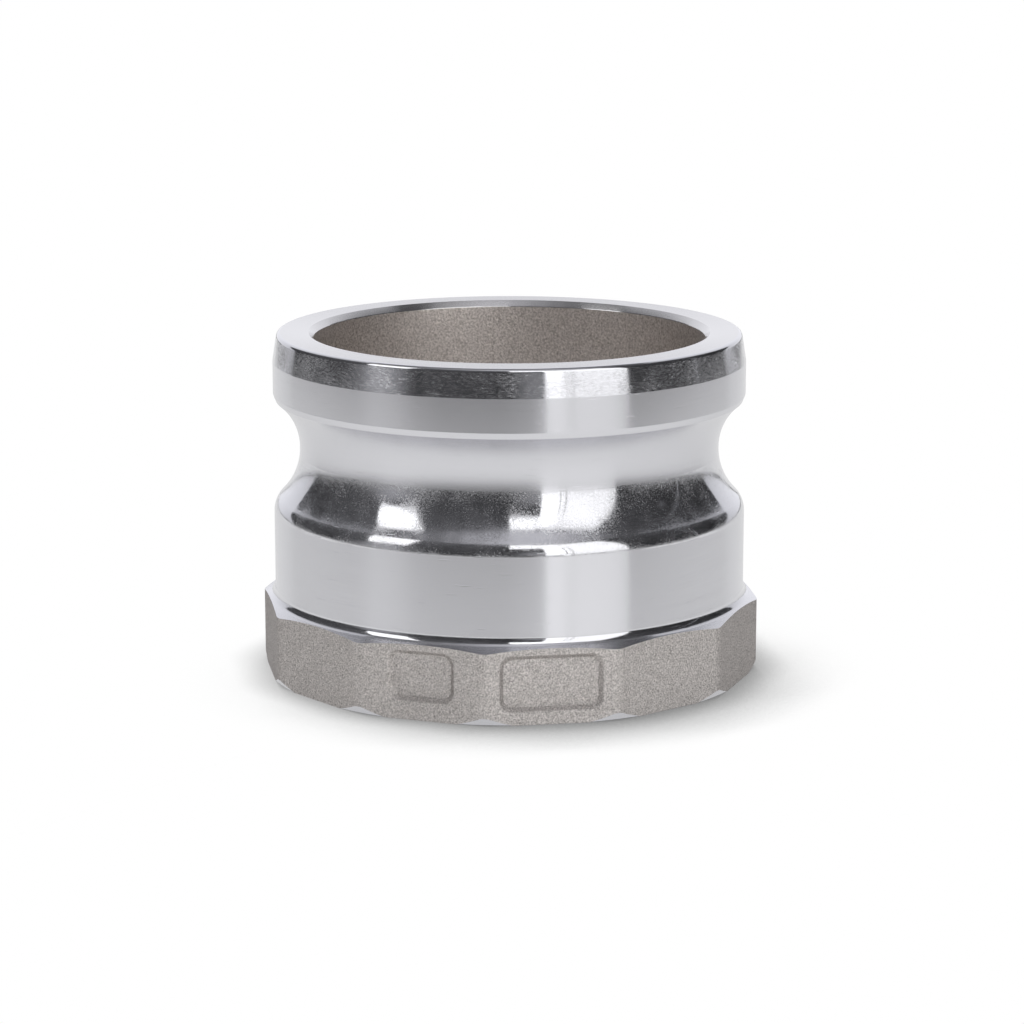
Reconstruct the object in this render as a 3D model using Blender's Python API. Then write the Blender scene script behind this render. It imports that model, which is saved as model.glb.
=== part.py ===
"""Cam and groove adapter with a threaded socket, in metres, standing on its socket with +Z up.

The body is one aluminium casting. Its nose, groove and end faces are turned, and its base keeps
the cast flats that a wrench grips. A flat seal ring sits in the relief at the end of the socket's
thread. The origin is on the axis, at the bottom face. One flat, with the wide recessed panel,
faces -Y.
"""

from math import atan2, ceil, cos, pi, radians, sin, sqrt, tan

import bmesh
import bpy
from mathutils import Matrix

MM = 0.001

# Whole fitting
TOTAL_HEIGHT = 66.0 * MM
CUT_MARGIN = 1.0 * MM

# How finely a full turn, the large arcs and the small rounds are stepped
TURN_STEPS = 72
ARC_CHORD = radians(6.0)
ROUND_CHORD = radians(20.0)

# Nose: the end that enters a coupler and seals on its top face
NOSE_DIAMETER = 91.5 * MM
LEAD_IN_LENGTH = 5.4 * MM
LEAD_IN_DEPTH = 0.85 * MM
NOSE_EDGE_ROUND = 0.9 * MM
MOUTH_CHAMFER_WIDTH = 1.55 * MM
MOUTH_CHAMFER_DEPTH = 1.0 * MM

# Rim: the straight band under the lead-in, with a broken lower edge
RIM_LENGTH = 6.35 * MM
RIM_CHAMFER_LENGTH = 1.15 * MM
RIM_CHAMFER_DEPTH = 0.45 * MM

# Cam groove: an arc from the rim to the neck, and a wider one that runs out over a rounded shoulder
GROOVE_DROP = 22.5 * MM
GROOVE_DEPTH = 5.1 * MM
GROOVE_RADIUS = 13.5 * MM
SHOULDER_ROUND = 4.0 * MM
NECK_WALL = 2.85 * MM

# Base: cast flats, with a turned slope above them and a turned chamfer below
FLAT_COUNT = 12
FLAT_STEP = 1.25 * MM
FLAT_HEIGHT = 14.4 * MM
BASE_SLOPE = radians(26.0)
COVE_ROUND = 1.6 * MM
CORNER_ROUND = 1.8 * MM
CORNER_STEPS = 2
FOOT_STEP = 0.53 * MM
FOOT_CHAMFER = radians(57.0)

# Recessed panels on two neighbouring flats
PANEL_DEPTH = 0.6 * MM
PANEL_ROUND = 1.8 * MM
PANEL_DRAFT = radians(40.0)
WIDE_PANEL_WIDTH = 19.4 * MM
WIDE_PANEL_HEIGHT = 10.6 * MM
WIDE_PANEL_CENTRE = 7.8 * MM
SMALL_PANEL_WIDTH = 13.2 * MM
SMALL_PANEL_HEIGHT = 9.6 * MM
SMALL_PANEL_CENTRE = 8.4 * MM

# Socket: a 3 inch parallel pipe thread, drawn here at its minor diameter
SOCKET_WALL = 1.65 * MM
THREAD_UNDERCUT = 1.637 * MM
THREAD_LENGTH = 18.0 * MM
SOCKET_CHAMFER = 1.7 * MM

# Seal ring, held in the relief behind the thread
SEAL_THICKNESS = 3.0 * MM
SEAL_LIP = 0.7 * MM
SEAL_EDGE = 0.4 * MM
SEAL_CLEARANCE = 0.3 * MM

# Colours, and the angles above which an edge is shaded sharp
ALUMINIUM_COLOUR = (0.72, 0.72, 0.74)
RUBBER_COLOUR = (0.02, 0.02, 0.022)
BODY_SHARP = radians(20.0)
SEAL_SHARP = radians(30.0)

# Sizes that follow from the ones above
NOSE_RADIUS = NOSE_DIAMETER / 2
NECK_RADIUS = NOSE_RADIUS - GROOVE_DEPTH
BORE_RADIUS = NECK_RADIUS - NECK_WALL
RIM_BOTTOM = TOTAL_HEIGHT - LEAD_IN_LENGTH - RIM_LENGTH
GROOVE_HEIGHT = TOTAL_HEIGHT - GROOVE_DROP
FLAT_RADIUS = NOSE_RADIUS + FLAT_STEP
CORNER_RADIUS = FLAT_RADIUS / cos(pi / FLAT_COUNT)
FOOT_RADIUS = FLAT_RADIUS + FOOT_STEP
BLANK_RADIUS = CORNER_RADIUS + CUT_MARGIN
RELIEF_RADIUS = NOSE_RADIUS - SOCKET_WALL
THREAD_RADIUS = RELIEF_RADIUS - THREAD_UNDERCUT
SEAT_HEIGHT = THREAD_LENGTH + SEAL_THICKNESS + 2 * SEAL_CLEARANCE


def clear_scene():
    """Remove every object that the file opened with."""
    for item in list(bpy.data.objects):
        bpy.data.objects.remove(item, do_unlink=True)


def principled(name, colour, roughness, metallic):
    """Return a new Principled material."""
    material = bpy.data.materials.new(name)
    material.use_nodes = True
    shader = material.node_tree.nodes["Principled BSDF"]
    shader.inputs["Base Color"].default_value = (*colour, 1.0)
    shader.inputs["Roughness"].default_value = roughness
    shader.inputs["Metallic"].default_value = metallic
    return material


def link_mesh(name, shape, material=None):
    """Turn a bmesh into a linked object, with its faces outwards."""
    bmesh.ops.recalc_face_normals(shape, faces=shape.faces)
    mesh = bpy.data.meshes.new(name)
    shape.to_mesh(mesh)
    shape.free()
    item = bpy.data.objects.new(name, mesh)
    bpy.context.scene.collection.objects.link(item)
    if material is None:
        item.hide_render = True
        item.display_type = "WIRE"
    else:
        mesh.materials.append(material)
    return item


def arc(centre, radius, start, end, chord):
    """Return the points of an arc, both ends included, none more than one chord's angle apart."""
    steps = ceil(abs(end - start) / chord)
    angles = [start + (end - start) * k / steps for k in range(steps + 1)]
    return [(centre[0] + radius * cos(a), centre[1] + radius * sin(a)) for a in angles]


def turned(name, outline, material):
    """Spin a closed (r, z) outline about the Z axis into a ring."""
    shape = bmesh.new()
    points = [shape.verts.new((r, 0.0, z)) for r, z in outline]
    loop = [shape.edges.new(pair) for pair in zip(points, points[1:] + points[:1])]
    bmesh.ops.spin(shape, geom=points + loop, cent=(0, 0, 0), axis=(0, 0, 1),
                   angle=2 * pi, steps=TURN_STEPS, use_merge=True)
    return link_mesh(name, shape, material)


def boolean(target, cutter, operation):
    """Cut or trim an object with another one, which stays as its hidden tool."""
    step = target.modifiers.new(cutter.name, "BOOLEAN")
    step.operation = operation
    step.object = cutter
    step.solver = "EXACT"


def nose_edge():
    """Return the rounded edge between the top face and the lead-in taper."""
    top_radius = NOSE_RADIUS - LEAD_IN_DEPTH
    lean = atan2(LEAD_IN_DEPTH, LEAD_IN_LENGTH)
    setback = NOSE_EDGE_ROUND * tan((pi / 2 - lean) / 2)
    centre = (top_radius - setback, TOTAL_HEIGHT - NOSE_EDGE_ROUND)
    return arc(centre, NOSE_EDGE_ROUND, pi / 2, lean, ROUND_CHORD)


def upper_groove():
    """Return the arc from the foot of the rim's chamfer down to the neck, where it is upright."""
    rise = RIM_BOTTOM - RIM_CHAMFER_LENGTH - GROOVE_HEIGHT
    reach = GROOVE_DEPTH - RIM_CHAMFER_DEPTH
    radius = (rise ** 2 + reach ** 2) / (2 * reach)
    centre = (NECK_RADIUS + radius, GROOVE_HEIGHT)
    return arc(centre, radius, atan2(rise, reach - radius), pi, ARC_CHORD)


def lower_groove():
    """Return the arc from the neck down, and the shoulder that it runs out over."""
    centre = (NECK_RADIUS + GROOVE_RADIUS, GROOVE_HEIGHT)
    span = GROOVE_RADIUS + SHOULDER_ROUND
    shoulder_drop = sqrt(span ** 2 - (span - GROOVE_DEPTH) ** 2)
    shoulder = (NOSE_RADIUS - SHOULDER_ROUND, GROOVE_HEIGHT - shoulder_drop)
    meet_angle = atan2(shoulder_drop, span - GROOVE_DEPTH)
    hollow = arc(centre, GROOVE_RADIUS, pi, pi + meet_angle, ARC_CHORD)
    round_over = arc(shoulder, SHOULDER_ROUND, meet_angle, 0.0, ARC_CHORD)
    return hollow + round_over[1:]


def slope_height(radius):
    """Return the height of the turned slope above the flats."""
    return FLAT_HEIGHT - (radius - FLAT_RADIUS) * tan(BASE_SLOPE)


def cove():
    """Return the turned cove where the lower cylinder meets the slope."""
    rise = COVE_ROUND * (1 - sin(BASE_SLOPE)) / cos(BASE_SLOPE)
    centre = (NOSE_RADIUS + COVE_ROUND, slope_height(NOSE_RADIUS) + rise)
    return arc(centre, COVE_ROUND, pi, 3 * pi / 2 - BASE_SLOPE, ROUND_CHORD)


def body_outline():
    """Return the body's section, from the bore mouth over the outside and back up the inside."""
    mouth = [
        (BORE_RADIUS, TOTAL_HEIGHT - MOUTH_CHAMFER_DEPTH),
        (BORE_RADIUS + MOUTH_CHAMFER_WIDTH, TOTAL_HEIGHT),
    ]
    rim = [(NOSE_RADIUS, RIM_BOTTOM + RIM_LENGTH), (NOSE_RADIUS, RIM_BOTTOM)]
    foot = [
        (BLANK_RADIUS, slope_height(BLANK_RADIUS)),
        (BLANK_RADIUS, (BLANK_RADIUS - FOOT_RADIUS) * tan(FOOT_CHAMFER)),
        (FOOT_RADIUS, 0.0),
    ]
    socket = [
        (THREAD_RADIUS + SOCKET_CHAMFER, 0.0),
        (THREAD_RADIUS, SOCKET_CHAMFER),
        (THREAD_RADIUS, THREAD_LENGTH),
        (RELIEF_RADIUS, THREAD_LENGTH),
        (RELIEF_RADIUS, SEAT_HEIGHT),
        (BORE_RADIUS, SEAT_HEIGHT),
    ]
    groove = upper_groove() + lower_groove()[1:]
    return mouth + nose_edge() + rim + groove + cove() + foot + socket


def flats_prism():
    """Return the many-sided prism that trims the turned blank to the base's cast flats."""
    shape = bmesh.new()
    height = TOTAL_HEIGHT + 2 * CUT_MARGIN
    bmesh.ops.create_cone(shape, cap_ends=True, segments=FLAT_COUNT, radius1=CORNER_RADIUS,
                          radius2=CORNER_RADIUS, depth=height)
    half_flat = Matrix.Rotation(pi / FLAT_COUNT, 4, "Z")
    lift = Matrix.Translation((0, 0, TOTAL_HEIGHT / 2))
    bmesh.ops.transform(shape, matrix=lift @ half_flat, verts=shape.verts)
    upright = [e for e in shape.edges if abs(e.verts[0].co.z - e.verts[1].co.z) > TOTAL_HEIGHT]
    bmesh.ops.bevel(shape, geom=upright, offset=CORNER_ROUND, segments=CORNER_STEPS, profile=0.5,
                    affect="EDGES")
    return link_mesh("flats_prism", shape)


def rounded_rectangle(width, height, corner):
    """Return the (across, up) outline of a rectangle with round corners."""
    outline = []
    for side_x, side_y, turn in ((1, 1, 0), (-1, 1, 1), (-1, -1, 2), (1, -1, 3)):
        centre = (side_x * (width / 2 - corner), side_y * (height / 2 - corner))
        outline += arc(centre, corner, turn * pi / 2, (turn + 1) * pi / 2, ROUND_CHORD)
    return outline


def panel_tool(name, width, height, centre_height, flat_index):
    """Return the drafted tool of a recessed panel, on the flat that is so many steps from -Y."""
    inset = PANEL_DEPTH * tan(PANEL_DRAFT)
    overrun = CUT_MARGIN * tan(PANEL_DRAFT)
    shape = bmesh.new()
    rims = []
    for grow, y in ((-inset, PANEL_DEPTH - FLAT_RADIUS), (overrun, -FLAT_RADIUS - CUT_MARGIN)):
        outline = rounded_rectangle(width + 2 * grow, height + 2 * grow, PANEL_ROUND + grow)
        face = shape.faces.new([shape.verts.new((x, y, z)) for x, z in outline])
        rims += face.edges
    bmesh.ops.bridge_loops(shape, edges=rims)
    turn = Matrix.Rotation(flat_index * 2 * pi / FLAT_COUNT, 4, "Z")
    lift = Matrix.Translation((0, 0, centre_height))
    bmesh.ops.transform(shape, matrix=turn @ lift, verts=shape.verts)
    return link_mesh(name, shape)


def adapter_body(material):
    """Build the cast and turned body."""
    body = turned("adapter_body", body_outline(), material)
    boolean(body, flats_prism(), "INTERSECT")
    wide = panel_tool("wide_panel", WIDE_PANEL_WIDTH, WIDE_PANEL_HEIGHT, WIDE_PANEL_CENTRE, 0)
    small = panel_tool("small_panel", SMALL_PANEL_WIDTH, SMALL_PANEL_HEIGHT, SMALL_PANEL_CENTRE, -1)
    boolean(body, wide, "DIFFERENCE")
    boolean(body, small, "DIFFERENCE")
    body.data.shade_smooth()
    body.data.set_sharp_from_angle(angle=BODY_SHARP)
    return body


def thread_seal(material):
    """Build the flat seal ring that lies in the relief, just clear of the seat."""
    inner = BORE_RADIUS + SEAL_LIP
    outer = RELIEF_RADIUS - SEAL_CLEARANCE
    bottom = THREAD_LENGTH + SEAL_CLEARANCE
    top = bottom + SEAL_THICKNESS
    outline = [
        (inner + SEAL_EDGE, top), (outer - SEAL_EDGE, top),
        (outer, top - SEAL_EDGE), (outer, bottom + SEAL_EDGE),
        (outer - SEAL_EDGE, bottom), (inner + SEAL_EDGE, bottom),
        (inner, bottom + SEAL_EDGE), (inner, top - SEAL_EDGE),
    ]
    seal = turned("thread_seal", outline, material)
    seal.data.shade_smooth()
    seal.data.set_sharp_from_angle(angle=SEAL_SHARP)
    return seal


def main():
    """Build the fitting's pieces."""
    clear_scene()
    aluminium = principled("cast_and_turned_aluminium", ALUMINIUM_COLOUR, roughness=0.28, metallic=1.0)
    rubber = principled("black_nitrile_rubber", RUBBER_COLOUR, roughness=0.6, metallic=0.0)
    adapter_body(aluminium)
    thread_seal(rubber)


main()
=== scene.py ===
"""Finished look of a cast aluminium cam and groove adapter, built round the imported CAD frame.

The body is one closed mesh. It is turned on a lathe from its section, trimmed by the cast prism that
carries the wrench flats and the two recessed panels, and tapped with a real pipe thread. A rubber
ring lies behind the thread. A small studio lights it: a pale floor, dark flags round the camera and
two window-like softboxes, which is what gives bright turned metal its dark and light bands.
"""

import logging
from dataclasses import dataclass
from enum import Enum
from math import atan2, cos, hypot, pi, radians, sin, sqrt, tan
from typing import Callable, Sequence

import bpy
from mathutils import Matrix, Vector


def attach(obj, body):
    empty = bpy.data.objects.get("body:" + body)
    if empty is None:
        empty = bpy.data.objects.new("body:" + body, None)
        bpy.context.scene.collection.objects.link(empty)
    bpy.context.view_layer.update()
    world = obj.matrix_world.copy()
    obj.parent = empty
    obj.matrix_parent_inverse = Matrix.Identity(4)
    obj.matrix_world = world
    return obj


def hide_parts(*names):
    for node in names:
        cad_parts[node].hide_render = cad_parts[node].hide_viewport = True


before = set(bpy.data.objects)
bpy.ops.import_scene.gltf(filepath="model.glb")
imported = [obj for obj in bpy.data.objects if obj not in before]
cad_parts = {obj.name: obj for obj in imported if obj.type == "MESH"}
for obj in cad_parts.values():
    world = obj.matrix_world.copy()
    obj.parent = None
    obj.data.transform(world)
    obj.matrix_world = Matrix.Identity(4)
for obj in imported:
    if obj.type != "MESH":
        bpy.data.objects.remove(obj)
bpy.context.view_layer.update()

LOG = logging.getLogger("adapter")
MM = 0.001
BODY = "root"
WELD = 0.0005 * MM
Z_AXIS = (0.0, 0.0, 1.0)
Point = tuple[float, float]


# Modelling helpers


def deselect_all() -> None:
    """Leave nothing selected and no mesh open for editing."""
    if bpy.context.object and bpy.context.object.mode != "OBJECT":
        bpy.ops.object.mode_set(mode="OBJECT")
    bpy.ops.object.select_all(action="DESELECT")


def take(piece: bpy.types.Object) -> None:
    """Make one object the only selected and active one.

    Args:
        piece: The object to work on.
    """
    deselect_all()
    piece.select_set(True)
    bpy.context.view_layer.objects.active = piece


def new_piece(name: str) -> bpy.types.Object:
    """Name the primitive that was just added.

    Args:
        name: The piece's name.

    Returns:
        The active object, under that name.
    """
    piece = bpy.context.object
    piece.name = name
    piece.data.name = name
    return piece


def select_faces(piece: bpy.types.Object, test: Callable[[bpy.types.MeshPolygon], bool]) -> None:
    """Select the faces that pass a test, and open the mesh in face mode.

    Args:
        piece: The object whose faces are tested.
        test: Says whether a face is wanted.
    """
    take(piece)
    bpy.ops.object.mode_set(mode="EDIT")
    bpy.ops.mesh.select_mode(type="FACE")
    bpy.ops.mesh.select_all(action="DESELECT")
    bpy.ops.object.mode_set(mode="OBJECT")
    for face in piece.data.polygons:
        face.select = test(face)
    bpy.ops.object.mode_set(mode="EDIT")


def select_edges(piece: bpy.types.Object, test: Callable[[Vector, Vector], bool]) -> None:
    """Select the edges whose two ends pass a test, and open the mesh in edge mode.

    Args:
        piece: The object whose edges are tested.
        test: Says from its two ends whether an edge is wanted.
    """
    take(piece)
    bpy.ops.object.mode_set(mode="EDIT")
    bpy.ops.mesh.select_mode(type="EDGE")
    bpy.ops.mesh.select_all(action="DESELECT")
    bpy.ops.object.mode_set(mode="OBJECT")
    points = piece.data.vertices
    for edge in piece.data.edges:
        edge.select = test(points[edge.vertices[0]].co, points[edge.vertices[1]].co)
    bpy.ops.object.mode_set(mode="EDIT")


def close_up(piece: bpy.types.Object) -> None:
    """Weld a mesh's doubles and turn its faces outwards.

    Args:
        piece: The object to close.
    """
    take(piece)
    bpy.ops.object.mode_set(mode="EDIT")
    bpy.ops.mesh.select_all(action="SELECT")
    bpy.ops.mesh.remove_doubles(threshold=WELD)
    bpy.ops.mesh.normals_make_consistent(inside=False)
    bpy.ops.object.mode_set(mode="OBJECT")


def draw_path(name: str, path: Sequence[Point]) -> bpy.types.Object:
    """Draw an open (r, z) path in the XZ plane, point by point.

    Args:
        name: The piece's name.
        path: Its points, in order.

    Returns:
        The object, open for editing with its last point selected.
    """
    deselect_all()
    bpy.ops.mesh.primitive_plane_add(size=MM)
    piece = new_piece(name)
    bpy.ops.object.mode_set(mode="EDIT")
    bpy.ops.mesh.select_mode(type="VERT")
    bpy.ops.mesh.merge(type="CENTER")
    here = (0.0, 0.0)
    for index, point in enumerate(path):
        step = (point[0] - here[0], 0.0, point[1] - here[1])
        if index:
            bpy.ops.mesh.extrude_region_move(TRANSFORM_OT_translate={"value": step})
        else:
            bpy.ops.transform.translate(value=step)
        here = point
    return piece


def turn_on_lathe(name: str, section: Sequence[Point], steps: int) -> bpy.types.Object:
    """Spin a closed (r, z) section once round the Z axis.

    Args:
        name: The piece's name.
        section: The outline's points; the last joins the first.
        steps: How many faces the turn has.

    Returns:
        The closed ring.
    """
    piece = draw_path(name, list(section) + [section[0]])
    bpy.ops.mesh.select_all(action="SELECT")
    bpy.ops.mesh.remove_doubles(threshold=WELD)
    bpy.ops.mesh.spin(steps=steps, angle=2 * pi, center=(0, 0, 0), axis=Z_AXIS)
    close_up(piece)
    return piece


def cut(piece: bpy.types.Object, tool: bpy.types.Object, operation: str) -> None:
    """Trim or cut a piece with a tool, and throw the tool away.

    Args:
        piece: The piece to change.
        tool: The closed mesh that changes it.
        operation: INTERSECT or DIFFERENCE.
    """
    take(piece)
    bpy.ops.object.modifier_add(type="BOOLEAN")
    step = piece.modifiers[-1]
    step.operation = operation
    step.object = tool
    step.solver = "EXACT"
    bpy.ops.object.modifier_apply(modifier=step.name)
    bpy.data.objects.remove(tool, do_unlink=True)
    close_up(piece)


def arc(centre: Point, radius: float, start: float, end: float, steps: int) -> list[Point]:
    """Return the points of an arc, both ends included.

    Args:
        centre: Its centre.
        radius: Its radius.
        start: The angle of its first point.
        end: The angle of its last point.
        steps: How many chords it has.

    Returns:
        Its points, in order.
    """
    angles = [start + (end - start) * k / steps for k in range(steps + 1)]
    return [(centre[0] + radius * cos(a), centre[1] + radius * sin(a)) for a in angles]


def eased(before: Point, corner: Point, after: Point, radius: float, steps: int = 5) -> list[Point]:
    """Return the small round that eases a sharp corner.

    Args:
        before: A point on the way to the corner.
        corner: The sharp corner.
        after: A point on the way from it.
        radius: The round's radius.
        steps: How many chords it has.

    Returns:
        The round's points, in order.
    """
    q = Vector(corner)
    back, ahead = (Vector(before) - q).normalized(), (Vector(after) - q).normalized()
    half = back.angle(ahead) / 2
    middle = q + (back + ahead).normalized() * (radius / sin(half))
    first, last = (q + way * (radius / tan(half)) - middle for way in (back, ahead))
    start = atan2(first.y, first.x)
    sweep = (atan2(last.y, last.x) - start + pi) % (2 * pi) - pi
    return arc((middle.x, middle.y), radius, start, start + sweep, steps)


# Shading helpers


def linear(colour: str) -> tuple[float, float, float, float]:
    """Turn an sRGB hex colour to linear RGBA.

    Args:
        colour: Six hex digits after a hash.

    Returns:
        The colour as a shader socket takes it.
    """
    parts = [int(colour[k:k + 2], 16) / 255 for k in (1, 3, 5)]
    return (*(p / 12.92 if p <= 0.04045 else ((p + 0.055) / 1.055) ** 2.4 for p in parts), 1.0)


def add_node(tree: bpy.types.NodeTree, kind: str, inputs: dict | None = None,
             **settings: object) -> bpy.types.Node:
    """Add a node with its settings and inputs.

    Args:
        tree: The node tree it joins.
        kind: The node's type.
        inputs: For each socket's name or place, a value or the socket that drives it.
        settings: The node's own properties.

    Returns:
        The new node.
    """
    node = tree.nodes.new(kind)
    for name, value in settings.items():
        setattr(node, name, value)
    for name, value in (inputs or {}).items():
        if isinstance(value, bpy.types.NodeSocket):
            tree.links.new(value, node.inputs[name])
        else:
            node.inputs[name].default_value = value
    return node


def add_ramp(tree: bpy.types.NodeTree, share: bpy.types.NodeSocket,
             tones: Sequence[Point]) -> bpy.types.Node:
    """Add a ramp of greys.

    Args:
        tree: The node tree it joins.
        share: The socket that says how far along the ramp to read.
        tones: The levels in order, each with its place on the ramp, from 0 to 1.

    Returns:
        The ramp.
    """
    ramp = add_node(tree, "ShaderNodeValToRGB", {0: share})
    stops = ramp.color_ramp.elements
    for position, _ in tones[1:-1]:
        stops.new(position)
    for stop, (_, level) in zip(stops, tones):
        stop.color = (level, level, level, 1.0)
    return ramp


def new_material(name: str) -> tuple[bpy.types.Material, bpy.types.NodeTree, bpy.types.Node]:
    """Start a node material.

    Args:
        name: The material's name.

    Returns:
        The material, its empty tree and its output node.
    """
    material = bpy.data.materials.new(name)
    material.use_nodes = True
    tree = material.node_tree
    tree.nodes.clear()
    return material, tree, add_node(tree, "ShaderNodeOutputMaterial")


class Face(Enum):
    """The surfaces of the body that have a finish of their own, in the order of its slots."""

    TURNED = 0
    POLISHED = 1
    GROOVE = 2
    CAST = 3
    BORE = 4
    THREAD = 5
    FACED = 6
    TAPER = 7


@dataclass(frozen=True)
class TurnedAluminium:
    """Aluminium alloy straight off the lathe.

    The tool leaves fine rings, so reflections stay sharp round the part and smear along its axis.
    """

    name: str
    colour: str = "#d8d8dc"
    roughness: float = 0.22
    low_roughness: float | None = None
    blend: Point = (42.45 * MM, 42.55 * MM)
    smear: float = 1.0
    ring_spacing: float = 0.24 * MM
    ring_length: float = 20.0 * MM
    ring_height: float = 0.00045 * MM
    haze: float = 0.012
    speck: float = 0.22 * MM
    speck_length: float = 0.8 * MM
    speckle: float = 0.0
    patch: float = 6.0 * MM
    scratch_length: float = 5.0 * MM
    scratch_width: float = 0.5 * MM
    scratch_slant: float = radians(28.0)
    scratch_depth: float = 0.010 * MM

    def material(self) -> bpy.types.Material:
        """Return the metal, with its rings and a few handling scratches."""
        material, tree, out = new_material(self.name)
        place = add_node(tree, "ShaderNodeTexCoord").outputs["Object"]
        along = add_node(tree, "ShaderNodeVectorMath", {0: Z_AXIS, 1: place},
                         operation="CROSS_PRODUCT").outputs[0]
        parts = add_node(tree, "ShaderNodeSeparateXYZ", {0: place}).outputs
        flat = add_node(tree, "ShaderNodeCombineXYZ", {0: parts[0], 1: parts[1]})
        radius = add_node(tree, "ShaderNodeVectorMath", {0: flat.outputs[0]}, operation="LENGTH")
        # Half the radius joins the height, so that the rings show on end faces and slopes too
        across = add_node(tree, "ShaderNodeMath",
                          {0: radius.outputs["Value"], 1: 0.5, 2: parts[2]},
                          operation="MULTIPLY_ADD")
        ring = add_node(tree, "ShaderNodeCombineXYZ",
                        {0: parts[0], 1: parts[1], 2: across.outputs[0]})
        scaled = add_node(tree, "ShaderNodeVectorMath", {
            0: ring.outputs[0],
            1: (1 / self.ring_length, 1 / self.ring_length, 1 / self.ring_spacing),
        }, operation="MULTIPLY")
        rings = add_node(tree, "ShaderNodeTexNoise",
                         {"Vector": scaled.outputs[0], "Scale": 1.0, "Detail": 2.0,
                          "Roughness": 0.6}).outputs[0]
        # The scratches lie on the turned skin unrolled, which closes at the back of the part
        behind = add_node(tree, "ShaderNodeMath", {0: parts[1], 1: -1.0}, operation="MULTIPLY")
        angle = add_node(tree, "ShaderNodeMath", {0: parts[0], 1: behind.outputs[0]},
                         operation="ARCTAN2")
        round_it = add_node(tree, "ShaderNodeMath", {0: angle.outputs[0], 1: 45.0 * MM},
                            operation="MULTIPLY")
        skin = add_node(tree, "ShaderNodeCombineXYZ",
                        {0: round_it.outputs[0], 1: across.outputs[0]})
        slanted = add_node(tree, "ShaderNodeMapping", {
            "Vector": skin.outputs[0], "Rotation": (0.0, 0.0, self.scratch_slant),
            "Scale": (1 / self.scratch_length, 1 / self.scratch_width, 1.0),
        })
        scuffs = add_node(tree, "ShaderNodeTexNoise",
                          {"Vector": slanted.outputs[0], "Scale": 1.0, "Detail": 1.0})
        scratch = add_node(tree, "ShaderNodeMapRange",
                           {"Value": scuffs.outputs[0], 1: 0.71, 2: 0.75})
        bump = add_node(tree, "ShaderNodeBump",
                        {"Height": rings, "Strength": 1.0, "Distance": self.ring_height})
        bump = add_node(tree, "ShaderNodeBump", {
            "Height": scratch.outputs[0], "Strength": 1.0, "Distance": self.scratch_depth,
            "Normal": bump.outputs[0],
        }, invert=True)
        # Dull specks, thicker in some patches, which show as grey grain where the metal looks dark
        short = add_node(tree, "ShaderNodeVectorMath", {
            0: ring.outputs[0],
            1: (1 / self.speck_length, 1 / self.speck_length, 1 / self.speck),
        }, operation="MULTIPLY")
        specks = add_node(tree, "ShaderNodeTexNoise",
                          {"Vector": short.outputs[0], "Scale": 1.0, "Detail": 2.0})
        patches = add_node(tree, "ShaderNodeTexNoise",
                           {"Vector": place, "Scale": 1 / self.patch, "Detail": 1.0})
        grain = add_node(tree, "ShaderNodeMath",
                         {0: patches.outputs[0], 1: 0.6, 2: specks.outputs[0]},
                         operation="MULTIPLY_ADD")
        low = self.roughness if self.low_roughness is None else self.low_roughness
        mean = add_node(tree, "ShaderNodeMapRange", {
            "Value": grain.outputs[0], 1: 0.68, 2: 1.05, 3: low, 4: low + self.speckle})
        if self.low_roughness is not None:
            mean = add_node(tree, "ShaderNodeMapRange", {
                "Value": parts[2], 1: self.blend[0], 2: self.blend[1],
                3: mean.outputs[0], 4: self.roughness,
            })
        haze = add_node(tree, "ShaderNodeMapRange",
                        {"Value": rings, 1: 0.3, 2: 0.7, 3: -self.haze, 4: self.haze})
        blur = add_node(tree, "ShaderNodeMath", {0: haze.outputs[0], 1: mean.outputs[0]},
                        operation="ADD")
        shader = add_node(tree, "ShaderNodeBsdfPrincipled", {
            "Base Color": linear(self.colour), "Metallic": 1.0, "Roughness": blur.outputs[0],
            "Anisotropic": self.smear, "Anisotropic Rotation": 0.25, "Tangent": along,
            "Normal": bump.outputs[0],
        })
        tree.links.new(shader.outputs[0], out.inputs["Surface"])
        return material


@dataclass(frozen=True)
class CastAluminium:
    """Aluminium as it leaves the sand mould: matt, warm grey and grainy to the eye."""

    name: str
    pale: str = "#eee8e5"
    deep: str = "#94908d"
    roughness: float = 0.42
    grain: float = 0.30 * MM
    relief: float = 0.2 * MM
    patch: float = 4.0 * MM

    def material(self) -> bpy.types.Material:
        """Return the metal, its grain drawn as both height and tone."""
        material, tree, out = new_material(self.name)
        place = add_node(tree, "ShaderNodeTexCoord").outputs["Object"]
        grain = add_node(tree, "ShaderNodeTexNoise",
                         {"Vector": place, "Scale": 1 / self.grain, "Detail": 3.0,
                          "Roughness": 0.65}).outputs[0]
        patch = add_node(tree, "ShaderNodeTexNoise",
                         {"Vector": place, "Scale": 1 / self.patch, "Detail": 2.0}).outputs[0]
        height = add_node(tree, "ShaderNodeMath", {0: patch, 1: 0.6, 2: grain},
                          operation="MULTIPLY_ADD").outputs[0]
        bump = add_node(tree, "ShaderNodeBump",
                        {"Height": height, "Strength": 1.0, "Distance": self.relief})
        tone = add_node(tree, "ShaderNodeMapRange", {"Value": grain, 1: 0.3, 2: 0.7})
        colour = add_node(tree, "ShaderNodeMix", {
            "Factor": tone.outputs[0], 6: linear(self.deep), 7: linear(self.pale),
        }, data_type="RGBA")
        # The rough skin does not brighten at a glancing view, so its edge tint is grey
        shader = add_node(tree, "ShaderNodeBsdfPrincipled", {
            "Base Color": colour.outputs[2], "Metallic": 1.0, "Roughness": self.roughness,
            "Specular Tint": (0.32, 0.32, 0.32, 1.0), "Normal": bump.outputs[0],
        })
        tree.links.new(shader.outputs[0], out.inputs["Surface"])
        return material


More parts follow.
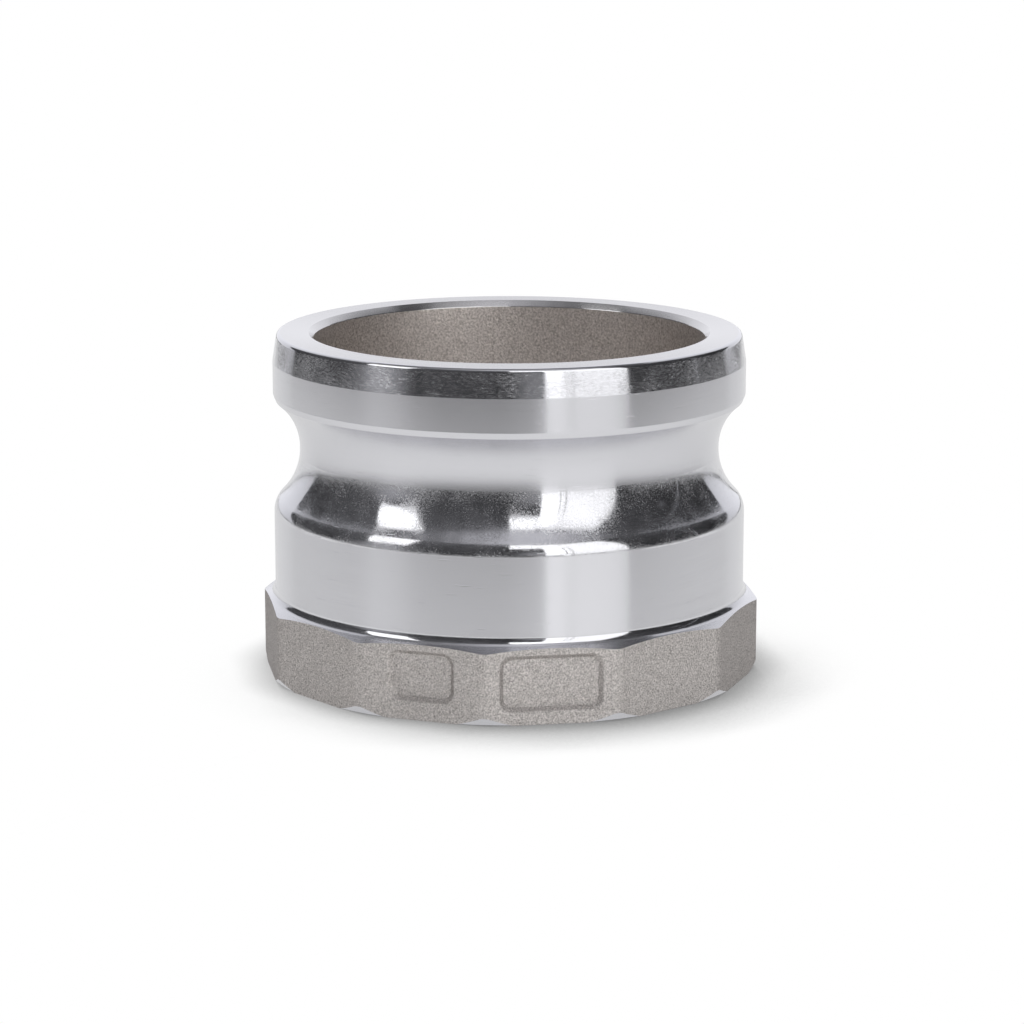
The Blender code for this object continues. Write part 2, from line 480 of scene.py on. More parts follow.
@dataclass(frozen=True)
class NitrileRubber:
    """Moulded black nitrile rubber: matt, with the fine bloom of the mould."""

    name: str = "moulded_nitrile_rubber"
    colour: str = "#1f1f20"
    bloom: str = "#2c2c2d"
    grain: float = 0.6 * MM
    relief: float = 0.01 * MM

    def material(self) -> bpy.types.Material:
        """Return the rubber, its bloom drawn as height, tone and roughness."""
        material, tree, out = new_material(self.name)
        place = add_node(tree, "ShaderNodeTexCoord").outputs["Object"]
        grain = add_node(tree, "ShaderNodeTexNoise",
                         {"Vector": place, "Scale": 1 / self.grain, "Detail": 4.0}).outputs[0]
        bump = add_node(tree, "ShaderNodeBump",
                        {"Height": grain, "Strength": 1.0, "Distance": self.relief})
        colour = add_node(tree, "ShaderNodeMix", {
            "Factor": grain, 6: linear(self.colour), 7: linear(self.bloom),
        }, data_type="RGBA")
        rough = add_node(tree, "ShaderNodeMapRange", {"Value": grain, 3: 0.5, 4: 0.75})
        shader = add_node(tree, "ShaderNodeBsdfPrincipled", {
            "Base Color": colour.outputs[2], "Roughness": rough.outputs[0],
            "Normal": bump.outputs[0],
        })
        tree.links.new(shader.outputs[0], out.inputs["Surface"])
        return material


# The object


@dataclass
class CastPrism:
    """The outside of the casting: twelve flats, with recessed panels on two of them."""

    flats: int = 12
    flat_radius: float = 47.0 * MM
    height: float = 70.0 * MM
    corner_round: float = 1.1 * MM
    panel_depth: float = 0.9 * MM
    panel_round: float = 1.8 * MM
    panel_draft: float = radians(42.0)
    rim_round: float = 0.50 * MM
    floor_round: float = 0.30 * MM
    overrun: float = 0.6 * MM
    wide_panel: tuple[float, float, float] = (19.4 * MM, 10.6 * MM, 7.8 * MM)
    small_panel: tuple[float, float, float] = (13.2 * MM, 9.6 * MM, 8.4 * MM)

    def build(self) -> bpy.types.Object:
        """Return the prism with its rounded corners and both panels."""
        deselect_all()
        step = 2 * pi / self.flats
        bpy.ops.mesh.primitive_cylinder_add(
            vertices=self.flats, radius=self.flat_radius / cos(step / 2), depth=self.height,
            location=(0, 0, self.height / 2 - 2 * MM), rotation=(0, 0, step / 2))
        prism = new_piece("cast_prism")
        bpy.ops.object.transform_apply(location=True, rotation=True, scale=True)
        select_edges(prism, lambda a, b: abs(a.z - b.z) > self.height / 2)
        bpy.ops.mesh.bevel(offset=self.corner_round, segments=6, affect="EDGES")
        cut(prism, self.panel_tool(self.wide_panel, 0.0), "DIFFERENCE")
        cut(prism, self.panel_tool(self.small_panel, -step), "DIFFERENCE")
        return prism

    def panel_wall(self) -> list[Point]:
        """Return the wall of a panel as (inset, depth) steps, from its floor out past its rim."""
        run = self.panel_depth * tan(self.panel_draft)
        foot, rim = (-run, self.panel_depth), (0.0, 0.0)
        floor = eased((-2 * run, self.panel_depth), foot, rim, self.floor_round, 4)
        lip = eased(foot, rim, (2 * run, 0.0), self.rim_round, 5)[:-1]
        return floor + lip + [(lip[-1][0] + self.overrun, -self.overrun / 4)]

    def panel_tool(self, panel: tuple[float, float, float], turn: float) -> bpy.types.Object:
        """Loft the tool that presses one panel.

        Args:
            panel: Its width, height and middle height.
            turn: How far its flat is turned from -Y.

        Returns:
            The closed tool, which stands a little proud of the flat.
        """
        width, height, middle = panel
        wall = self.panel_wall()
        deselect_all()
        bpy.ops.mesh.primitive_plane_add(size=1.0, rotation=(pi / 2, 0, 0))
        tool = new_piece("panel_tool")
        tool.scale = (width + 2 * wall[0][0], height + 2 * wall[0][0], 1.0)
        bpy.ops.object.transform_apply(location=True, rotation=True, scale=True)
        bpy.ops.object.mode_set(mode="EDIT")
        bpy.ops.mesh.bevel(offset=self.panel_round, segments=8, affect="VERTICES")
        bpy.ops.mesh.select_all(action="SELECT")
        bpy.ops.transform.translate(value=(0, wall[0][1] - self.flat_radius, middle))
        for (inset, depth), (wider, higher) in zip(wall, wall[1:]):
            bpy.ops.mesh.extrude_region_move(
                TRANSFORM_OT_translate={"value": (0, higher - depth, 0)})
            bpy.ops.transform.resize(
                value=((width + 2 * wider) / (width + 2 * inset), 1.0,
                       (height + 2 * wider) / (height + 2 * inset)),
                center_override=(0, 0, middle))
        close_up(tool)
        tool.rotation_euler.z = turn
        bpy.ops.object.transform_apply(location=True, rotation=True, scale=True)
        return tool


@dataclass
class PipeTap:
    """The tap that cuts the 3 inch parallel pipe thread, with its rounded 55 degree form."""

    pitch: float = 2.309 * MM
    major: float = 43.942 * MM
    minor: float = 42.463 * MM
    flank: float = radians(27.5)
    tip_round: float = 0.317 * MM
    start: float = -1.0 * MM
    end: float = 18.8 * MM
    steps: int = 150
    turn: float = radians(0.75)

    def form(self) -> list[Point]:
        """Return one pitch of the tap's edge, from the middle of one root to the next."""
        sweep = pi / 2 - self.flank
        root = arc((self.minor + self.tip_round, 0.0), self.tip_round, pi, pi - sweep, 3)
        crest = arc((self.major - self.tip_round, self.pitch / 2), self.tip_round, -sweep, sweep, 6)
        rest = [(r, self.pitch - z) for r, z in reversed(root)]
        return root + crest + rest

    def build(self) -> bpy.types.Object:
        """Wind the form into a helix and cut both its ends square."""
        low = self.start - 1.6 * self.pitch
        turns = int((self.end - low) / self.pitch) + 3
        tap = draw_path("pipe_tap", [(r, z + low) for r, z in self.form()])
        bpy.ops.object.mode_set(mode="OBJECT")
        bpy.ops.object.modifier_add(type="SCREW")
        screw = tap.modifiers[-1]
        screw.axis = "Z"
        screw.angle = 2 * pi
        screw.screw_offset = self.pitch
        screw.iterations = turns
        screw.steps = screw.render_steps = self.steps
        bpy.ops.object.modifier_apply(modifier=screw.name)
        take(tap)
        bpy.ops.object.mode_set(mode="EDIT")
        bpy.ops.mesh.select_all(action="SELECT")
        bpy.ops.mesh.remove_doubles(threshold=WELD * 4)
        for height, outer in ((self.start, False), (self.end, True)):
            bpy.ops.mesh.select_all(action="SELECT")
            bpy.ops.mesh.bisect(plane_co=(0, 0, height), plane_no=Z_AXIS, use_fill=True,
                                clear_inner=not outer, clear_outer=outer, threshold=WELD)
        close_up(tap)
        # A small turn keeps its edges off the body's own, which lie on whole steps
        tap.rotation_euler.z = self.turn
        bpy.ops.object.transform_apply(location=True, rotation=True, scale=True)
        return tap


@dataclass
class AdapterBody:
    """The cast and turned body: nose, cam groove, cylinder, faceted base and threaded socket."""

    height: float = 66.0 * MM
    nose_radius: float = 45.75 * MM
    nose_top_radius: float = 44.9 * MM
    lead_in: float = 5.4 * MM
    nose_edge: float = 0.9 * MM
    rim_length: float = 6.35 * MM
    chamfer_length: float = 1.15 * MM
    chamfer_depth: float = 0.45 * MM
    mouth_radius: float = 38.8 * MM
    mouth_depth: float = 1.2 * MM
    mouth_round: float = 0.4 * MM
    bore_radius: float = 37.8 * MM
    groove_height: float = 43.5 * MM
    groove_depth: float = 5.1 * MM
    groove_radius: float = 13.5 * MM
    shoulder_round: float = 4.0 * MM
    flat_radius: float = 47.0 * MM
    flat_height: float = 14.4 * MM
    base_slope: float = radians(26.0)
    cove_round: float = 2.0 * MM
    foot_radius: float = 47.53 * MM
    foot_chamfer: float = radians(57.0)
    blank_radius: float = 49.7 * MM
    drill_radius: float = 42.55 * MM
    socket_mouth: float = 44.16 * MM
    thread_length: float = 18.0 * MM
    relief_radius: float = 44.1 * MM
    seat_height: float = 21.6 * MM
    broken_edge: float = 0.12 * MM
    turn_steps: int = 288

    @property
    def taper_bottom(self) -> float:
        """The height where the lead-in taper meets the rim."""
        return self.height - self.lead_in

    @property
    def rim_bottom(self) -> float:
        """The height of the rim's lower edge, where its chamfer begins."""
        return self.taper_bottom - self.rim_length

    def slope_at(self, radius: float) -> float:
        """Return the height of the turned slope above the flats at a radius."""
        return self.flat_height - (radius - self.flat_radius) * tan(self.base_slope)

    def upper_groove(self) -> list[Point]:
        """Return the arc from the foot of the rim's chamfer down to the neck."""
        rise = self.rim_bottom - self.chamfer_length - self.groove_height
        reach = self.groove_depth - self.chamfer_depth
        radius = (rise ** 2 + reach ** 2) / (2 * reach)
        centre = (self.nose_radius - self.groove_depth + radius, self.groove_height)
        return arc(centre, radius, atan2(rise, reach - radius), pi, 32)

    def lower_groove(self) -> list[Point]:
        """Return the wider arc below the neck and the rounded shoulder that it runs out over."""
        centre = (self.nose_radius - self.groove_depth + self.groove_radius, self.groove_height)
        span = self.groove_radius + self.shoulder_round
        drop = sqrt(span ** 2 - (span - self.groove_depth) ** 2)
        meet = atan2(drop, span - self.groove_depth)
        hollow = arc(centre, self.groove_radius, pi, pi + meet, 28)
        shoulder = (self.nose_radius - self.shoulder_round, self.groove_height - drop)
        return hollow + arc(shoulder, self.shoulder_round, meet, 0.0, 18)[1:]

    def cove(self) -> list[Point]:
        """Return the cove where the lower cylinder meets the slope."""
        rise = self.cove_round * (1 - sin(self.base_slope)) / cos(self.base_slope)
        centre = (self.nose_radius + self.cove_round, self.slope_at(self.nose_radius) + rise)
        return arc(centre, self.cove_round, pi, 3 * pi / 2 - self.base_slope, 14)

    def section(self) -> list[Point]:
        """Return the turned section, from the bore over the nose, down and up the socket."""
        upper = self.upper_groove()
        bore = (self.bore_radius, self.height - 4 * self.mouth_depth)
        lip = (self.bore_radius, self.height - self.mouth_depth)
        mouth = (self.mouth_radius, self.height)
        nose = (self.nose_top_radius, self.height)
        taper = (self.nose_radius, self.taper_bottom)
        rim = (self.nose_radius, self.rim_bottom)
        blank = self.blank_radius
        foot = (self.foot_radius, 0.0)
        side = (blank, (blank - self.foot_radius) * tan(self.foot_chamfer))
        socket = (self.socket_mouth, 0.0)
        drill = (self.drill_radius, self.socket_mouth - self.drill_radius)
        path = [bore, *eased(bore, lip, mouth, self.mouth_round, 8),
                *eased(lip, mouth, nose, self.broken_edge),
                *eased(mouth, nose, taper, self.nose_edge, 12), taper,
                *eased(taper, rim, upper[0], self.broken_edge),
                *eased(rim, upper[0], upper[1], self.broken_edge), *upper[1:],
                *self.lower_groove()[1:], *self.cove()]
        path += [(blank, self.slope_at(blank)), side, *eased(side, foot, socket, self.broken_edge),
                 *eased(foot, socket, drill, self.broken_edge), drill,
                 (self.drill_radius, self.thread_length), (self.relief_radius, self.thread_length),
                 (self.relief_radius, self.seat_height), (self.bore_radius, self.seat_height)]
        return path

    def build(self) -> bpy.types.Object:
        """Turn the blank, trim it to the casting, tap the socket and shade its edges."""
        body = turn_on_lathe("finished_body", self.section(), self.turn_steps)
        cut(body, CastPrism().build(), "INTERSECT")
        cut(body, PipeTap().build(), "DIFFERENCE")
        near = 0.002 * MM
        select_edges(body, lambda a, b: abs(a.z - self.taper_bottom) < near
                     and abs(b.z - self.taper_bottom) < near)
        bpy.ops.mesh.mark_sharp()
        bpy.ops.object.mode_set(mode="OBJECT")
        bpy.ops.object.shade_smooth_by_angle(angle=radians(16.0), keep_sharp_edges=True)
        return body

    def finish_of(self, face: bpy.types.MeshPolygon) -> Face:
        """Name the finish of one face from its place and direction.

        Args:
            face: The face to name.

        Returns:
            The finish that it has on the real part.
        """
        radius, height = hypot(face.center.x, face.center.y), face.center.z
        outward = (face.normal.x * face.center.x + face.normal.y * face.center.y) / radius
        if height < self.seat_height and radius < self.socket_mouth + self.broken_edge and (
                outward < 0.1 or height > MM):
            return Face.THREAD
        if radius < self.bore_radius + 0.01 * MM and outward < 0:
            return Face.BORE
        if height > self.taper_bottom:
            if outward < 0.1:
                return Face.FACED
            return Face.POLISHED if height > self.height - self.nose_edge else Face.TAPER
        if self.lower_groove()[-1][1] < height < self.rim_bottom - 0.05 * MM:
            return Face.GROOVE
        if face.normal.z > 0.02 and self.slope_at(radius) - 0.05 * MM < height < self.cove()[0][1]:
            return Face.TURNED if face.normal.z > 0.88 else Face.POLISHED
        if height < self.slope_at(self.nose_radius) and radius > self.flat_radius - 2 * MM and (
                face.normal.z > -0.3 or height > 2 * MM):
            return Face.CAST
        return Face.TURNED

    def dress(self, body: bpy.types.Object) -> None:
        """Give the body its finishes, face by face.

        Args:
            body: The built body.
        """
        finishes = {
            Face.TURNED: TurnedAluminium("turned_aluminium"),
            Face.POLISHED: TurnedAluminium("finely_turned_aluminium", roughness=0.09, smear=0.8,
                                           speckle=0.08),
            Face.GROOVE: TurnedAluminium("form_turned_aluminium", roughness=0.2,
                                         low_roughness=0.08, speckle=0.20,
                                         speck_length=0.28 * MM),
            Face.CAST: CastAluminium("sand_cast_aluminium"),
            Face.BORE: CastAluminium("sand_cast_bore_aluminium", pale="#fdf6f1", deep="#b0a8a2",
                                     roughness=0.45, grain=0.42 * MM, relief=0.12 * MM),
            Face.THREAD: TurnedAluminium("thread_cut_aluminium", roughness=0.3),
            Face.FACED: TurnedAluminium("faced_aluminium", colour="#d3d2d3", roughness=0.17),
            Face.TAPER: TurnedAluminium("lead_in_turned_aluminium", colour="#d3d3d7",
                                        roughness=0.13, speckle=0.15),
        }
        for face in Face:
            body.data.materials.append(finishes[face].material())
        body.data.polygons.foreach_set(
            "material_index", [self.finish_of(face).value for face in body.data.polygons])
        body.data.update()


@dataclass
class ThreadSeal:
    """The flat rubber ring in the relief behind the thread."""

    inner: float = 38.5 * MM
    outer: float = 43.8 * MM
    bottom: float = 18.3 * MM
    top: float = 21.3 * MM
    edge: float = 0.4 * MM
    turn_steps: int = 144

    def build(self) -> bpy.types.Object:
        """Turn the ring with its four rounded edges."""
        corners = [(self.inner, self.top), (self.outer, self.top),
                   (self.outer, self.bottom), (self.inner, self.bottom)]
        section: list[Point] = []
        for k, corner in enumerate(corners):
            section += eased(corners[k - 1], corner, corners[(k + 1) % 4], self.edge)
        seal = turn_on_lathe("finished_seal", section, self.turn_steps)
        bpy.ops.object.shade_smooth_by_angle(angle=radians(25.0))
        return seal

    def dress(self, seal: bpy.types.Object) -> None:
        """Give the ring its rubber."""
        seal.data.materials.append(NitrileRubber().material())


# The studio


@dataclass
class PhotoCamera:
    """The camera as the photograph was taken: low, from a little left of the wide panel."""

    turn: float = radians(9.55)
    distance: float = 654.5 * MM
    height: float = 170.2 * MM
    aim_height: float = 30.0 * MM
    aim_right: float = 0.53 * MM
    lens: float = 120.39
    sensor: float = 36.0

    def ground(self, azimuth: float, reach: float) -> Vector:
        """Return a point on the floor.

        Args:
            azimuth: The angle to the right of the way to the camera, seen from the camera.
            reach: The distance from the axis.

        Returns:
            The point at that angle and distance.
        """
        angle = azimuth - self.turn
        return Vector((sin(angle) * reach, -cos(angle) * reach, 0.0))

    def build(self) -> None:
        """Set the camera up and make it the scene's."""
        spot = self.ground(0.0, self.distance) + Vector((0, 0, self.height))
        aim = self.ground(pi / 2, self.aim_right) + Vector((0, 0, self.aim_height))
        deselect_all()
        bpy.ops.object.camera_add(location=spot,
                                  rotation=(aim - spot).to_track_quat("-Z", "Y").to_euler())
        camera = bpy.context.object
        camera.name = "photo_camera"
        camera.data.lens = self.lens
        camera.data.sensor_width = self.sensor
        camera.data.clip_start = 0.01
        bpy.context.scene.camera = camera


@dataclass(frozen=True)
class Softbox:
    """A square-cornered lamp like a window, hung at a bearing in degrees.

    It stands upright unless it is tilted down, and rolled in its own plane.
    """

    name: str
    azimuth: float
    reach: float
    middle: float
    width: float
    height: float
    radiance: float
    tilt: float = 0.0
    roll: float = 0.0

    def build(self, camera: PhotoCamera) -> None:
        """Hang the lamp where the camera's bearings say.

        Args:
            camera: The camera that the angles are measured from.
        """
        spot = camera.ground(radians(self.azimuth), self.reach) + Vector((0, 0, self.middle))
        deselect_all()
        bpy.ops.object.light_add(type="AREA")
        lamp = bpy.context.object
        lamp.name = self.name
        lamp.matrix_world = (
            Matrix.Translation(spot) @ Matrix.Rotation(atan2(spot.x, -spot.y), 4, "Z")
            @ Matrix.Rotation(pi / 2 - radians(self.tilt), 4, "X")
            @ Matrix.Rotation(radians(self.roll), 4, "Z"))
        lamp.data.shape = "RECTANGLE"
        lamp.data.size, lamp.data.size_y = self.width, self.height
        lamp.data.energy = 4 * self.width * self.height * self.radiance


@dataclass(frozen=True)
class Glow:
    """A lighter patch on the room's walls, at a bearing and an elevation in degrees."""

    azimuth: float
    elevation: float
    distance: float
    radius: float
    level: float

    def spot(self, camera: PhotoCamera) -> Vector:
        """Return the middle of the patch.

        Args:
            camera: The camera that the angles are measured from.

        Returns:
            The point in the room.
        """
        rise = radians(self.elevation)
        return camera.ground(radians(self.azimuth), self.distance * cos(rise)) \
            + Vector((0, 0, self.distance * sin(rise)))


@dataclass
class Studio:
    """A pale floor, a white surround, a dark room round the camera and two windows."""

    camera: PhotoCamera
    floor_size: float = 12.0
    flag_reach: float = 1.9
    # How far behind the part the flag's two end cuts pass, and how much they lean back
    flag_ends: tuple[Point, ...] = ((1.117, 0.576), (1.455, 0.0), (1.861, -0.602))
    flag_height: float = 3.0
    backdrop_reach: float = 2.2
    ceiling_height: float = 3.0
    ceiling_size: float = 9.0
    bar_width: float = 11.0 * MM
    wall_tones: tuple[Point, ...] = ((0.0, 0.04), (1.0, 0.11))
    wall_glows: tuple[Glow, ...] = (
        Glow(-64.0, 6.0, 1.9, 0.72, 0.34), Glow(13.0, 9.0, 1.9, 0.50, 0.26),
        Glow(90.0, 24.0, 1.9, 0.24, 0.50))
    ceiling_tones: tuple[Point, ...] = ((0.0, 0.2), (1.0, 0.2))
    ceiling_glows: tuple[Glow, ...] = (Glow(20.0, 69.0, 3.21, 1.9, 0.50),)
    table_middle: float = 0.236
    # Painted shade: the sheet's tones, darker towards the camera where the table's light falls off
    table_shade_tones: tuple[Point, ...] = (
        (0.0, 0.80), (0.10, 0.83), (0.205, 0.97), (0.27, 0.95), (0.32, 0.64), (0.383, 0.14),
        (0.50, 0.08), (1.0, 0.08))
    # The middle, half width and soft edge in degrees of a painted streak of window light on the
    # table, and its level
    window_light_streaks: tuple[tuple[float, float, float, float], ...] = (
        (33.0, 15.0, 9.0, 0.42), (-67.0, 8.0, 30.0, 0.20))

    def room_material(self, name: str, tones: Sequence[Point],
                      glows: Sequence[Glow]) -> bpy.types.Material:
        """Return the tone of the dark room: paler upwards and to the left, with lighter patches.

        Args:
            name: The material's name.
            tones: Its levels, each with a share of the way up to the ceiling.
            glows: The lighter patches.

        Returns:
            The wall's material.
        """
        material, tree, out = new_material(name)
        place = add_node(tree, "ShaderNodeTexCoord").outputs["Object"]
        height = add_node(tree, "ShaderNodeSeparateXYZ", {0: place}).outputs[2]
        share_up = add_node(tree, "ShaderNodeMapRange", {"Value": height, 2: self.ceiling_height})
        level = add_ramp(tree, share_up.outputs[0], tones)
        aside = add_node(tree, "ShaderNodeVectorMath",
                         {0: place, 1: self.camera.ground(pi / 2, 1.0)}, operation="DOT_PRODUCT")
        side = add_node(tree, "ShaderNodeMapRange",
                        {"Value": aside.outputs["Value"], 1: -2.0, 2: 2.0, 3: 1.35, 4: 0.75})
        clutter = add_node(tree, "ShaderNodeTexNoise",
                           {"Vector": place, "Scale": 4.0, "Detail": 4.0})
        uneven = add_node(tree, "ShaderNodeMapRange",
                          {"Value": clutter.outputs[0], 1: 0.3, 2: 0.7, 3: 0.55, 4: 1.45})
        for share in (side, uneven):
            level = add_node(tree, "ShaderNodeMath", {0: level.outputs[0], 1: share.outputs[0]},
                             operation="MULTIPLY")
        for glow in glows:
            far = add_node(tree, "ShaderNodeVectorMath", {0: place, 1: glow.spot(self.camera)},
                           operation="DISTANCE")
            patch = add_node(tree, "ShaderNodeMapRange", {
                "Value": far.outputs["Value"], 2: glow.radius, 3: glow.level, 4: 0.0,
            }, interpolation_type="SMOOTHSTEP")
            level = add_node(tree, "ShaderNodeMath", {0: level.outputs[0], 1: patch.outputs[0]},
                             operation="ADD")
        shader = add_node(tree, "ShaderNodeEmission",
                          {"Color": (0.985, 0.985, 1.03, 1.0), "Strength": level.outputs[0]})
        tree.links.new(shader.outputs[0], out.inputs["Surface"])
        return material

    def backdrop_material(self) -> bpy.types.Material:
        """Return the pale backdrop, white behind the part and greyer to its sides."""
        material, tree, out = new_material("pale_backdrop")
        place = add_node(tree, "ShaderNodeTexCoord").outputs["Object"]
        ahead = add_node(tree, "ShaderNodeVectorMath",
                         {0: place, 1: self.camera.ground(0.0, 1.0)}, operation="DOT_PRODUCT")
        level = add_node(tree, "ShaderNodeMapRange",
                         {"Value": ahead.outputs["Value"], 1: -2.1, 2: -1.3, 3: 1.0, 4: 0.62})
        shader = add_node(tree, "ShaderNodeEmission",
                          {"Color": (0.98, 0.985, 1.03, 1.0), "Strength": level.outputs[0]})
        tree.links.new(shader.outputs[0], out.inputs["Surface"])
        return material

    def hide(self, item: bpy.types.Object, material: bpy.types.Material) -> None:
        """Dress a piece of the stage and keep it out of the camera's sight.

        Args:
            item: The flag or card.
            material: Its tone.
        """
        item.data.materials.append(material)
        item.visible_camera = False
        item.visible_shadow = False

    def floor_material(self) -> bpy.types.Material:
        """Return the white floor, which keeps a soft contact shadow under the part."""
        material, tree, out = new_material("white_floor")
        path = add_node(tree, "ShaderNodeLightPath").outputs
        seen = add_node(tree, "ShaderNodeMath", {0: path["Is Camera Ray"], 1: path["Is Glossy Ray"]},
                        operation="MAXIMUM")
        seen = add_node(tree, "ShaderNodeMath",
                        {0: seen.outputs[0], 1: path["Is Transmission Ray"]}, operation="MAXIMUM")
        # Light comes low from behind on the left, and the crack under the part is darker still
        lean = (self.camera.ground(radians(-155.0), 2.0) + Vector((0, 0, 1.0))).normalized()
        upwards = add_node(tree, "ShaderNodeCombineXYZ", {0: lean.x, 1: lean.y, 2: lean.z})
        open_sky = add_node(tree, "ShaderNodeAmbientOcclusion",
                            {"Distance": 22.0 * MM, "Normal": upwards.outputs[0]}, samples=6)
        shade = add_node(tree, "ShaderNodeMapRange",
                         {"Value": open_sky.outputs["AO"], 1: 0.3, 2: 0.85, 3: 0.3, 4: 1.0})
        crack = add_node(tree, "ShaderNodeAmbientOcclusion", {"Distance": 8.0 * MM}, samples=6)
        tight = add_node(tree, "ShaderNodeMapRange",
                         {"Value": crack.outputs["AO"], 1: 0.5, 2: 1.0, 3: 0.65, 4: 1.0})
        both = add_node(tree, "ShaderNodeMath", {0: shade.outputs[0], 1: tight.outputs[0]},
                        operation="MULTIPLY")
        white = add_node(tree, "ShaderNodeEmission", {"Strength": both.outputs[0]})
        matt = add_node(tree, "ShaderNodeBsdfDiffuse", {"Color": linear("#f2f2f2")})
        mix = add_node(tree, "ShaderNodeMixShader",
                       {0: seen.outputs[0], 1: matt.outputs[0], 2: white.outputs[0]})
        tree.links.new(mix.outputs[0], out.inputs["Surface"])
        return material

    def table_material(self) -> bpy.types.Material:
        """Return the sheet in front, with painted shade that darkens it towards the camera."""
        material, tree, out = new_material("table_sheet_painted_light_and_shade")
        place = add_node(tree, "ShaderNodeTexCoord").outputs["Object"]
        ahead = add_node(tree, "ShaderNodeVectorMath",
                         {0: place, 1: self.camera.ground(0.0, 1.0)}, operation="DOT_PRODUCT")
        # The painted shade runs in rings round a point behind the part
        reach = add_node(tree, "ShaderNodeVectorMath",
                         {0: place, 1: self.camera.ground(pi, self.table_middle)},
                         operation="DISTANCE")
        share = add_node(tree, "ShaderNodeMapRange", {
            "Value": reach.outputs["Value"], 1: self.table_middle - 0.10,
            2: self.table_middle + 0.90})
        tone = add_ramp(tree, share.outputs[0], self.table_shade_tones)
        aside = add_node(tree, "ShaderNodeVectorMath",
                         {0: place, 1: self.camera.ground(pi / 2, 1.0)}, operation="DOT_PRODUCT")
        bearing = add_node(tree, "ShaderNodeMath",
                           {0: aside.outputs["Value"], 1: ahead.outputs["Value"]},
                           operation="ARCTAN2")
        onset = add_node(tree, "ShaderNodeMapRange",
                         {"Value": ahead.outputs["Value"], 1: 0.12, 2: 0.30})
        # Painted light: lighter streaks where the windows light the table, faded in away from the
        # part
        for middle, half, soft, level in self.window_light_streaks:
            off = add_node(tree, "ShaderNodeMath", {0: bearing.outputs[0], 1: -radians(middle)},
                           operation="ADD")
            off = add_node(tree, "ShaderNodeMath", {0: off.outputs[0]}, operation="ABSOLUTE")
            lit_streak = add_node(tree, "ShaderNodeMapRange", {
                "Value": off.outputs[0], 1: radians(half), 2: radians(half + soft),
                3: level, 4: 0.0,
            })
            tone = add_node(tree, "ShaderNodeMath",
                            {0: lit_streak.outputs[0], 1: onset.outputs[0], 2: tone.outputs[0]},
                            operation="MULTIPLY_ADD")
        # The part's own shadow on the sheet, which falls to the front right
        away = add_node(tree, "ShaderNodeVectorMath",
                        {0: place, 1: self.camera.ground(radians(30.0), 4.0 * MM)},
                        operation="DISTANCE")
        shade = add_node(tree, "ShaderNodeMapRange", {
            "Value": away.outputs["Value"], 1: 46.0 * MM, 2: 58.0 * MM, 3: 0.8, 4: 1.0,
        })
        shader = add_node(tree, "ShaderNodeEmission",
                          {"Color": tone.outputs[0], "Strength": shade.outputs[0]})
        tree.links.new(shader.outputs[0], out.inputs["Surface"])
        return material

    def build_floor(self) -> None:
        """Lay the white floor and the sheet of painted light and shade that only the metal sees."""
        deselect_all()
        bpy.ops.mesh.primitive_plane_add(size=self.floor_size)
        floor = new_piece("studio_floor")
        floor.data.materials.append(self.floor_material())
        bpy.ops.mesh.primitive_plane_add(size=2.4)
        sheet = new_piece("table_sheet")
        select_faces(sheet, lambda face: True)
        bpy.ops.transform.translate(value=(0, 0, 0.1 * MM))
        deselect_all()
        sheet.visible_diffuse = False
        self.hide(sheet, self.table_material())

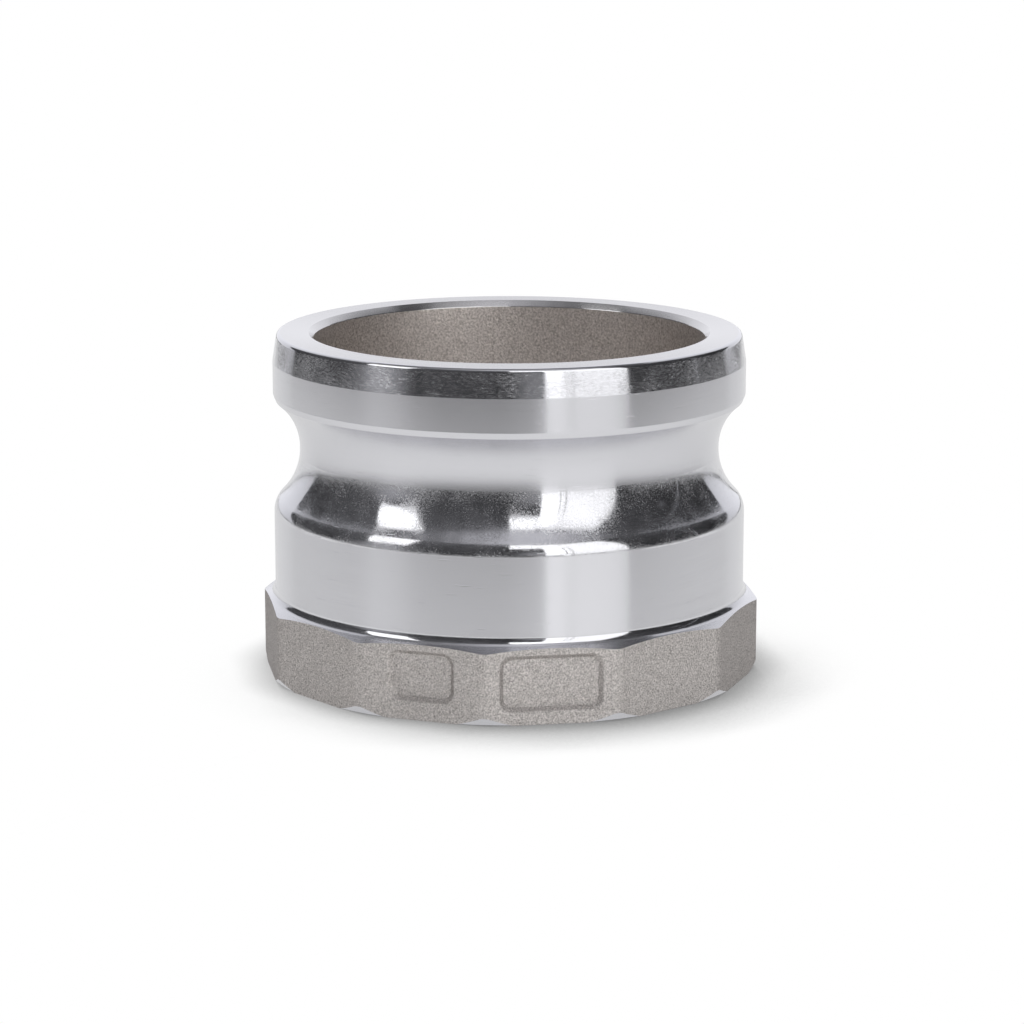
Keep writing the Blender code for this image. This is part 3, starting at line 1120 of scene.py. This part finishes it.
    def build_flags(self) -> None:
        """Stand the dark wall round the camera's side, hang the ceiling and bar the window."""
        deselect_all()
        bpy.ops.mesh.primitive_cylinder_add(
            vertices=96, radius=self.flag_reach, depth=self.flag_height, end_fill_type="NOTHING",
            location=(0, 0, self.flag_height / 2))
        flag = new_piece("room_flag")
        bpy.ops.object.transform_apply(location=True, rotation=True, scale=True)
        ahead = self.camera.ground(0.0, 1.0)
        bpy.ops.object.mode_set(mode="EDIT")
        for reach, lean in self.flag_ends:
            bpy.ops.mesh.select_all(action="SELECT")
            bpy.ops.mesh.bisect(plane_co=-ahead * reach, plane_no=(-ahead.x, -ahead.y, -lean),
                                clear_outer=True)
        deselect_all()
        dark = self.room_material("dark_room", self.wall_tones, self.wall_glows)
        self.hide(flag, dark)
        bpy.ops.mesh.primitive_cylinder_add(
            vertices=96, radius=self.backdrop_reach, depth=self.flag_height,
            end_fill_type="NOTHING", location=(0, 0, self.flag_height / 2))
        backdrop = new_piece("pale_backdrop")
        bpy.ops.object.transform_apply(location=True, rotation=True, scale=True)
        pale = self.backdrop_material()
        self.hide(backdrop, pale)
        bpy.ops.mesh.primitive_plane_add(size=self.ceiling_size)
        ceiling = new_piece("ceiling_flag")
        select_faces(ceiling, lambda face: True)
        bpy.ops.transform.translate(value=(0, 0, self.ceiling_height))
        deselect_all()
        self.hide(ceiling, self.room_material("grey_ceiling", self.ceiling_tones,
                                              self.ceiling_glows))
        for azimuth, tone in ((27.0, dark), (30.0, dark), (100.5, pale)):
            spot = self.camera.ground(radians(azimuth), 1.2) + Vector((0, 0, 0.45))
            bpy.ops.mesh.primitive_plane_add(
                size=1.0, location=spot, rotation=(pi / 2, 0, atan2(spot.x, -spot.y)))
            bar = new_piece("window_bar")
            bar.scale = (self.bar_width, 0.85, 1.0)
            self.hide(bar, tone)

    def build_world(self) -> None:
        """Make the surround white."""
        world = bpy.data.worlds.new("white_surround")
        world.use_nodes = True
        bpy.context.scene.world = world
        world.node_tree.nodes["Background"].inputs["Color"].default_value = (1, 1, 1, 1)
        world.node_tree.nodes["Background"].inputs["Strength"].default_value = 1.0

    def build(self) -> None:
        """Set up the floor, the flags, the lamps and the surround."""
        self.build_world()
        self.build_floor()
        self.build_flags()
        for lamp in (
                Softbox("right_window", 22.75, 1.38, 0.95, 0.28, 1.90, 1.30),
                Softbox("right_side_window", 43.25, 1.32, 0.91, 0.69, 1.82, 1.12),
                Softbox("right_upper_window", 8.5, 1.31, 1.44, 0.39, 0.98, 1.30),
                Softbox("left_softbox", -67.4, 1.14, 0.90, 0.52, 0.77, 1.28, tilt=38.2, roll=18.0)):
            lamp.build(self.camera)


def hand_over(piece: bpy.types.Object, node: str) -> None:
    """Put a finished piece in the place of its CAD node.

    Args:
        piece: The finished piece.
        node: The node that it stands for.
    """
    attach(piece, BODY)
    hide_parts(node)
    LOG.info("%s: %d faces for %s", piece.name, len(piece.data.polygons), node)


def main() -> None:
    """Build the adapter and its studio."""
    logging.basicConfig(level=logging.INFO, format="%(name)s: %(message)s")
    bpy.context.scene.view_settings.view_transform = "Standard"
    adapter, ring = AdapterBody(), ThreadSeal()
    body = adapter.build()
    adapter.dress(body)
    hand_over(body, "adapter_body")
    seal = ring.build()
    ring.dress(seal)
    hand_over(seal, "thread_seal")
    camera = PhotoCamera()
    camera.build()
    Studio(camera).build()
    deselect_all()


if __name__ == "__main__":
    main()
